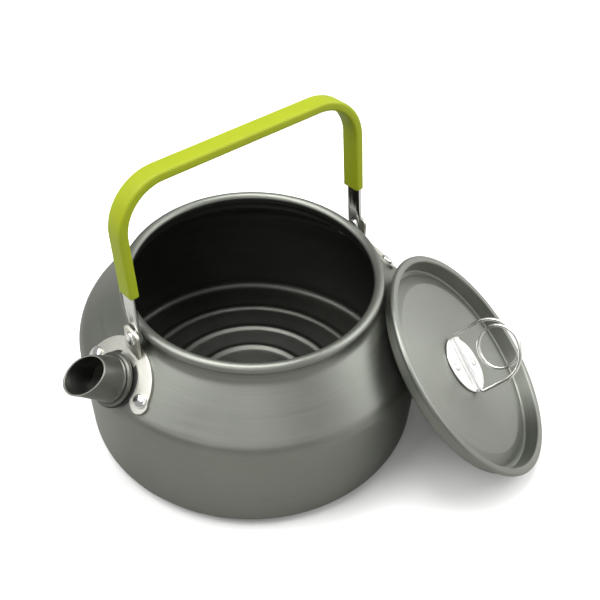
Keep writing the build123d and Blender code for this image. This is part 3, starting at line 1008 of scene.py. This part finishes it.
def easedCopy(node, name, material, body, slot, ease):
    # A copy of the frame's own shape, with its facets joined and its sharp edges rounded.
    bm = bmesh.new()
    bm.from_mesh(frame["nodes"][node].data)
    bmesh.ops.remove_doubles(bm, verts=bm.verts, dist=easing["merge"])
    bmesh.ops.dissolve_limit(
        bm, angle_limit=easing["flat"], use_dissolve_boundaries=False, verts=bm.verts, edges=bm.edges
    )
    folds = [edge for edge in bm.edges if len(edge.link_faces) == 2]
    bmesh.ops.bevel(
        bm, geom=[edge for edge in folds if edge.calc_face_angle(0) > easing["sharp"]], offset=ease,
        offset_type="OFFSET", segments=3, profile=0.5, material=-1, affect="EDGES", clamp_overlap=True,
    )
    bmesh.ops.triangulate(bm, faces=[face for face in bm.faces if len(face.verts) > 4])
    for uv in list(bm.loops.layers.uv.values()):
        bm.loops.layers.uv.remove(uv)
    addPiece(name, bm, material, body, slot, node, 30)


easedCopy("rear_bracket", "rearBracket", plateFinish, "kettle", "plate_steel", easing["plateEdge"])
easedCopy("handle_strap", "handleStrap", strapFinish, "handle", "strap_steel", easing["strapEdge"])
print("rear bracket and strap: eased edges")


bracket = {
    "sheet": 0.0012,
    "archRadius": 0.01995,
    "archDrop": -0.0024,
    "earSpread": 0.0168,
    "earRadius": 0.0037,
    "earEnd": 0.98,
    "holeRadius": 0.0119,
    "steps": 150,
    "crowding": 0.9,
    "rings": 7,
    "tabWidth": 0.0098,
    "tabTop": 0.0770,
    "tabCorner": 0.002,
    "bendRadius": 0.0013,
    "footLength": 0.0026,
    "sink": 0.00012,
    "ease": 0.00022,
    "easeFrom": radians(42),
    "passes": 5,
}


def shellDistance(spot):
    # How far a point lies outside the shoulder, the neck and the rounded corner between them.
    radius = kettle["neckCorner"]
    around = hypot(spot.x, spot.y)
    centre = (
        kettle["neckRadius"] + radius, kettle["neckFoot"] + radius * (1 - sin(coneSlope)) / cos(coneSlope)
    )
    across, up = around - centre[0], spot.z - centre[1]
    if up <= 0 and cos(coneSlope) * across - sin(coneSlope) * up <= 0:
        return radius - hypot(across, up)
    return min(coneDistance(spot), around - kettle["neckRadius"])


def bracketReach(angle):
    # How far the plate's outline is from the spout's axis, in the direction of the angle.
    b = bracket
    side = b["earSpread"] * sin(angle)
    ear = 0
    if abs(side) < b["earRadius"]:
        ear = b["earSpread"] * abs(cos(angle)) + (b["earRadius"] ** 2 - side ** 2) ** 0.5
    if sin(angle) < 0:
        return max(ear, b["holeRadius"])
    arch = b["archDrop"] * sin(angle) + (b["archRadius"] ** 2 - (b["archDrop"] * cos(angle)) ** 2) ** 0.5
    return max(ear, arch)


def bracketStart(angle, low):
    # The hole's edge, which turns outward round the end of each ear.
    b = bracket
    under = min(angle, pi - angle)
    if under >= 0:
        return b["holeRadius"]
    half = max(b["earRadius"] ** 2 - (b["earSpread"] * sin(under)) ** 2, 0) ** 0.5
    near = b["earSpread"] * cos(under) - half
    return b["holeRadius"] + (near - b["holeRadius"]) * (under / low) ** 2


def archPlate():
    # A fan spun round the spout's axis: its lines crowd towards the ears, its rings follow the outline.
    b = bracket
    bm = bmesh.new()
    low = -asin(b["earRadius"] / b["earSpread"]) * b["earEnd"]
    line = [
        bm.verts.new((cos(low) * (b["holeRadius"] + step), sin(low) * (b["holeRadius"] + step), 0))
        for step in range(b["rings"] + 1)
    ]
    edges = [bm.edges.new(pair) for pair in zip(line, line[1:])]
    bmesh.ops.spin(
        bm, geom=line + edges, axis=(0, 0, 1), cent=(0, 0, 0), angle=pi - 2 * low, steps=b["steps"],
        use_merge=False,
    )
    for vert in bm.verts:
        far = hypot(vert.co.x, vert.co.y)
        angle = atan2(vert.co.y, vert.co.x) % (2 * pi)
        if angle > pi * 3 / 2 - 1e-4:
            angle -= 2 * pi
        part = (angle - low) / (pi - 2 * low)
        part -= b["crowding"] * sin(2 * pi * part) / (2 * pi)
        angle = low + part * (pi - 2 * low)
        start = bracketStart(angle, low)
        share = (far - b["holeRadius"]) / b["rings"]
        reach = start + share * (bracketReach(angle) - start)
        vert.co = Vector((cos(angle), sin(angle), 0)) * reach
    bmesh.ops.transform(bm, matrix=spoutPlace, verts=bm.verts)
    axis = spoutPlace.to_3x3() @ Vector((0, 0, 1))
    for vert in bm.verts:
        for again in range(b["passes"]):
            vert.co -= axis * (shellDistance(vert.co) - spout["seatGap"] - b["sheet"])
    return thickened(bm, axis, b["sheet"])


def bentTab():
    b = bracket
    outer = -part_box("front_pivot_rivet")[0].x - rivets["headHeight"] - spout["seatGap"]
    level = spout["seatGap"] + b["sheet"] - b["sink"]
    slope = Vector((cos(coneSlope), -sin(coneSlope)))
    height = kettle["neckFoot"] + (
        level - (outer - kettle["neckRadius"]) * sin(coneSlope)
    ) / cos(coneSlope)
    corner = Vector((outer, height))
    foot = corner + slope * (b["footLength"] + b["bendRadius"])
    profile = roundedRun([(*foot, 0), (*corner, b["bendRadius"]), (outer, b["tabTop"], 0)], radians(8))
    bm = bmesh.new()
    verts = [bm.verts.new((-p.x, -b["tabWidth"] / 2, p.y)) for p in profile]
    edges = [bm.edges.new(pair) for pair in zip(verts, verts[1:])]
    pullLoop(bm, edges, (0, b["tabWidth"], 0), 1)
    top = [vert for vert in bm.verts if abs(vert.co.z - b["tabTop"]) < 1e-6]
    bmesh.ops.bevel(
        bm, geom=top, offset=b["tabCorner"], segments=8, profile=0.5, material=-1, affect="VERTICES"
    )
    return thickened(bm, Vector((-1, 0, 0)), b["sheet"])


def makeFrontBracket():
    piece = makeObject("frontBracket", archPlate(), plateFinish)
    combine(piece, makeObject("tab", bentTab(), plateFinish), "UNION")
    ease = piece.modifiers.new("ease", "BEVEL")
    ease.width = bracket["ease"]
    ease.segments = 3
    ease.limit_method = "ANGLE"
    ease.angle_limit = bracket["easeFrom"]
    applyModifiers(piece)
    smoothPiece(piece, 32)
    finishPiece(piece, "kettle", "plate_steel", "front_bracket")


sleeve = {
    "pivotHeight": joints["handle_fold"]["pos_m"][2],
    "armOffset": 0.05675,
    "rise": 0.0668,
    "corner": 0.020,
    "lean": radians(7),
    "start": 0.021,
    "width": 0.00925,
    "thickness": 0.0042,
    "edge": 0.0013,
    "strapWidth": 0.0074,
    "strapThickness": 0.0015,
    "gap": 0.00005,
    "endRounding": 0.0004,
    "cornerSteps": 22,
    "edgeSteps": 6,
    "armSteps": 12,
    "barSteps": 26,
    "strapEdge": 0.0002,
}


def sleeveLoop(bm, thickness, width, rounding):
    # The outline of the sleeve's section, standing at the foot of the first arm.
    half = (thickness / 2, width / 2)
    points = []
    for sx, sy in ((1, 1), (-1, 1), (-1, -1), (1, -1)):
        centre = (sx * (half[0] - rounding), sy * (half[1] - rounding))
        start = atan2(sy, sx) - pi / 4
        points += arcRun(centre, rounding, start, start + pi / 2, sleeve["edgeSteps"])
    foot = sleeve["pivotHeight"] + sleeve["start"]
    verts = [bm.verts.new((-sleeve["armOffset"] + x, y, foot)) for x, y in points]
    return [bm.edges.new((verts[i], verts[(i + 1) % len(verts)])) for i in range(len(verts))]


def pullLoop(bm, edges, offset, steps):
    for step in range(steps):
        made = bmesh.ops.extrude_edge_only(bm, edges=edges)["geom"]
        verts = [item for item in made if isinstance(item, bmesh.types.BMVert)]
        edges = [item for item in made if isinstance(item, bmesh.types.BMEdge)]
        bmesh.ops.translate(bm, vec=Vector(offset) / steps, verts=verts)
        ends = set(verts)
        edges = [edge for edge in edges if edge.verts[0] in ends and edge.verts[1] in ends]
    return edges


def turnLoop(bm, edges, centre):
    verts = {vert for edge in edges for vert in edge.verts}
    made = bmesh.ops.spin(
        bm, geom=[*verts, *edges], cent=centre, axis=(0, 1, 0), angle=pi / 2,
        steps=sleeve["cornerSteps"], use_merge=False,
    )["geom_last"]
    return [item for item in made if isinstance(item, bmesh.types.BMEdge)]


def sleeveSkin(bm, thickness, width, rounding):
    # The section goes up one arm, round a corner, along the bar, round a corner and down the other arm.
    arm = sleeve["rise"] - sleeve["corner"] - sleeve["start"]
    level = sleeve["pivotHeight"] + sleeve["rise"] - sleeve["corner"]
    bend = sleeve["armOffset"] - sleeve["corner"]
    first = sleeveLoop(bm, thickness, width, rounding)
    edges = pullLoop(bm, first, (0, 0, arm), sleeve["armSteps"])
    edges = turnLoop(bm, edges, (-bend, 0, level))
    edges = pullLoop(bm, edges, (2 * bend, 0, 0), sleeve["barSteps"])
    edges = turnLoop(bm, edges, (bend, 0, level))
    last = pullLoop(bm, edges, (0, 0, -arm), sleeve["armSteps"])
    return first, last


def makeSleeve():
    bm = bmesh.new()
    outerFirst, outerLast = sleeveSkin(bm, sleeve["thickness"], sleeve["width"], sleeve["edge"])
    gap = 2 * sleeve["gap"]
    innerFirst, innerLast = sleeveSkin(
        bm, sleeve["strapThickness"] + gap, sleeve["strapWidth"] + gap, sleeve["strapEdge"]
    )
    bmesh.ops.bridge_loops(bm, edges=outerFirst + innerFirst)
    bmesh.ops.bridge_loops(bm, edges=outerLast + innerLast)
    bmesh.ops.recalc_face_normals(bm, faces=bm.faces)
    bmesh.ops.bevel(
        bm, geom=outerFirst + outerLast, offset=sleeve["endRounding"], segments=3, profile=0.5,
        material=-1, affect="EDGES",
    )
    lean = Matrix.Rotation(-sleeve["lean"], 3, "X")
    bmesh.ops.rotate(bm, cent=(0, 0, sleeve["pivotHeight"]), matrix=lean, verts=bm.verts)
    addPiece("handleSleeve", bm, sleeveRubber, "handle", "sleeve_silicone", "handle_sleeve")


makeFrontBracket()
print("front bracket: arch and bent tab")
makeSleeve()
print("sleeve: hollow silicone grip round the bar")


lid = {
    "sheet": 0.001,
    "dishTop": 0.0494,
    "dishFoot": 0.0486,
    "dishDepth": 0.0069,
    "creaseWidth": 0.002,
    "panelRadius": 0.041,
    "panelDepth": 0.005,
    "fadeWidth": 0.004,
    "fadeRise": 0.00018,
    "topEases": (0, 0.0016, 0.0009, 0.0009, 0.0008, 0),
    "underEases": (0, 0.0009, 0.0016, 0.0018, 0.0003, 0),
    "crownDepth": 0.0041,
    "lipRadius": 0.0529,
    "hemRadius": 0.0011,
    "hemGap": 0.09,
    "hemSteps": 26,
    "crownSteps": 14,
    "ringRise": 0.0019,
    "meshGap": 0.0015,
    "steps": 180,
}
lidNormal = Vector(joints["lid_lift"]["axis"]).normalized()
ringAxis = Vector(joints["ring_fold"]["axis"]).normalized()
ringPlace = placeMatrix(joints["ring_fold"]["pos_m"], lidNormal, ringAxis)
holderPlace = ringPlace @ Matrix.Translation((0, 0, -lid["ringRise"]))
lidPlace = holderPlace @ Matrix.Translation((0, 0, lid["crownDepth"]))


def crownRun(crown, edge):
    # A shallow dome's line from its middle to its edge.
    shares = [step / lid["crownSteps"] for step in range(lid["crownSteps"])]
    return [Vector((edge[0] * share, crown + (edge[1] - crown) * share ** 2)) for share in shares]


def lidOutline():
    d = lid
    hem = d["hemRadius"]
    corners = [
        (d["panelRadius"] - d["fadeWidth"], -d["panelDepth"] + d["fadeRise"]),
        (d["panelRadius"], -d["panelDepth"]),
        (d["dishFoot"] - d["creaseWidth"], -d["dishDepth"]),
        (d["dishFoot"], -d["dishDepth"]),
        (d["dishTop"], 0),
        (d["lipRadius"] - hem, 0),
    ]
    top = roundedLine(corners, d["topEases"])
    below = insetCorners(corners[::-1], d["sheet"])[::-1]
    under = roundedLine(below, d["underEases"])
    roll = arcRun((d["lipRadius"] - hem, -hem), hem, pi / 2, d["hemGap"] - pi, d["hemSteps"])
    dome = crownRun(-d["crownDepth"], corners[0])
    domeUnder = crownRun(-d["crownDepth"] - d["sheet"], below[0])
    return evenRun(dome + top[:-1] + roll + under[-2::-1] + domeUnder[::-1], d["meshGap"])


def makeLid():
    bm = turnedMesh(lidOutline(), lid["steps"])
    bmesh.ops.transform(bm, matrix=lidPlace, verts=bm.verts)
    addPiece("lidPanel", bm, bodyFinish, "lid", "anodised_body", "lid_panel")


makeLid()
print("lid: pressed dish with a rolled hem")


holder = {
    "radius": 0.0132,
    "thickness": 0.0008,
    "low": 0.00005,
    "ribHalfLength": 0.0122,
    "ribRadius": 0.00158,
    "ribWall": 0.00068,
    "ribFoot": 0.0009,
    "ribBend": 0.0006,
    "ribSteps": 16,
    "archSteps": 18,
    "edgeEase": 0.0003,
    "meshGap": 0.0012,
    "steps": 96,
    "rivetSpread": 0.0082,
    "rivetShank": 0.0011,
    "rivetHead": 0.0019,
    "rivetHeight": 0.0005,
}


def holderDisc(bm):
    top = holder["low"] + holder["thickness"]
    ease = holder["edgeEase"]
    outline = roundedRun([
        (0, top, 0), (holder["radius"], top, ease), (holder["radius"], holder["low"], ease),
        (0, holder["low"], 0),
    ], radians(15))
    disc = turnedMesh(evenRun(outline, holder["meshGap"]), holder["steps"])
    mesh = bpy.data.meshes.new("disc")
    disc.to_mesh(mesh)
    disc.free()
    bm.from_mesh(mesh)
    bpy.data.meshes.remove(mesh)


def holderRib(bm):
    # An arch with flared feet, pulled along the wire's axis and given its sheet's thickness.
    top = holder["low"] + holder["thickness"]
    centre = lid["ringRise"]
    r = holder["ribRadius"]
    foot = r + holder["ribFoot"]
    side = roundedRun([(foot, top, 0), (r, top, holder["ribBend"]), (r, centre, 0)], radians(12))
    crown = arcRun((0, centre), r, 0, pi, holder["archSteps"])
    arch = side[:-1] + crown + [Vector((-p.x, p.y)) for p in side[-2::-1]]
    verts = [bm.verts.new((-holder["ribHalfLength"], p.x, p.y)) for p in arch]
    edges = [bm.edges.new(pair) for pair in zip(verts, verts[1:])]
    before = set(bm.faces)
    pullLoop(bm, edges, (2 * holder["ribHalfLength"], 0, 0), holder["ribSteps"])
    faces = [face for face in bm.faces if face not in before]
    bmesh.ops.recalc_face_normals(bm, faces=faces)
    if max(faces, key=lambda face: face.calc_center_median().z).normal.z < 0:
        bmesh.ops.reverse_faces(bm, faces=faces)
    bmesh.ops.solidify(bm, geom=faces, thickness=holder["ribWall"])


def makeHolder():
    bm = bmesh.new()
    holderRib(bm)
    holderDisc(bm)
    bmesh.ops.transform(bm, matrix=holderPlace, verts=bm.verts)
    turn = holderPlace.to_3x3().inverted().to_euler()
    material = steelMaterial("holderSteel", steelFinishes["holder"], tuple(turn))
    addPiece("ringHolder", bm, material, "lid", "holder_steel", "ring_holder")
    for node, side in (("holder_rivet_lower", -1), ("holder_rivet_upper", 1)):
        seat = holder["low"] + holder["thickness"] + spout["seatGap"]
        place = holderPlace @ Matrix.Translation((0, side * holder["rivetSpread"], seat))
        grip = holder["thickness"] + lid["sheet"] + 4 * spout["seatGap"]
        small = rivetMesh(
            holder["rivetHead"], holder["rivetHeight"], holder["rivetShank"], grip,
            holder["rivetHead"], holder["rivetHeight"], place,
        )
        addPiece(node.replace("_rivet", "Rivet"), small, rivetFinish, "lid", "rivet_steel", node)


ring = {
    "wire": 0.0008,
    "halfWidth": 0.01375,
    "leg": 0.0125,
    "bend": 0.00155,
    "coilRadius": 0.0093,
    "coilRise": 0.00165,
    "endGap": 0.001,
    "bendSteps": 20,
    "coilSteps": 72,
}


def eased(share):
    # From 0 to 1, starting and ending level.
    return share * share * (3 - 2 * share)


def ringPath():
    # One wire: out of the rib, up a leg, over to the far side, once round the coil, and back the same way.
    w, leg, coil, rise = ring["halfWidth"], ring["leg"], ring["coilRadius"], ring["coilRise"]
    foot = roundedRun([(ring["endGap"], 0, 0), (w, 0, ring["bend"]), (w, leg, 0)], radians(9))
    points = [(p.x, 0, p.y) for p in foot[:-1]]
    for step in range(ring["bendSteps"]):
        angle = pi / 2 * step / ring["bendSteps"]
        points.append((w * cos(angle), 0, leg + w * sin(angle)))
    for step in range(ring["coilSteps"] + 1):
        share = step / ring["coilSteps"]
        angle = pi / 2 + 2 * pi * share
        points.append((coil * cos(angle), rise * eased(share), leg + w - coil + coil * sin(angle)))
    for step in range(1, ring["bendSteps"] + 1):
        share = step / ring["bendSteps"]
        angle = pi / 2 * (1 + share)
        points.append((w * cos(angle), rise * (1 - eased(share)), leg + w * sin(angle)))
    return points + [(-p.x, 0, p.y) for p in foot[-2::-1]]


def makeRing():
    curve = bpy.data.curves.new("lidRing", "CURVE")
    curve.dimensions = "3D"
    curve.bevel_depth = ring["wire"]
    curve.bevel_resolution = 5
    curve.use_fill_caps = True
    spline = curve.splines.new("POLY")
    points = ringPath()
    spline.points.add(len(points) - 1)
    for point, spot in zip(spline.points, points):
        point.co = (*spot, 1)
    wire = bpy.data.objects.new("wirePath", curve)
    bpy.context.collection.objects.link(wire)
    bpy.context.view_layer.update()
    mesh = bpy.data.meshes.new_from_object(wire.evaluated_get(bpy.context.evaluated_depsgraph_get()))
    bm = bmesh.new()
    bm.from_mesh(mesh)
    bpy.data.meshes.remove(mesh)
    bpy.data.objects.remove(wire)
    bpy.data.curves.remove(curve)
    bmesh.ops.remove_doubles(bm, verts=bm.verts, dist=1e-6)
    bmesh.ops.recalc_face_normals(bm, faces=bm.faces)
    bmesh.ops.transform(bm, matrix=ringPlace, verts=bm.verts)
    addPiece("lidRing", bm, wireFinish, "lid_ring", "wire_steel", "lid_ring")


makeHolder()
makeRing()
print("ring: one wire with a full coil, in its stamped holder")
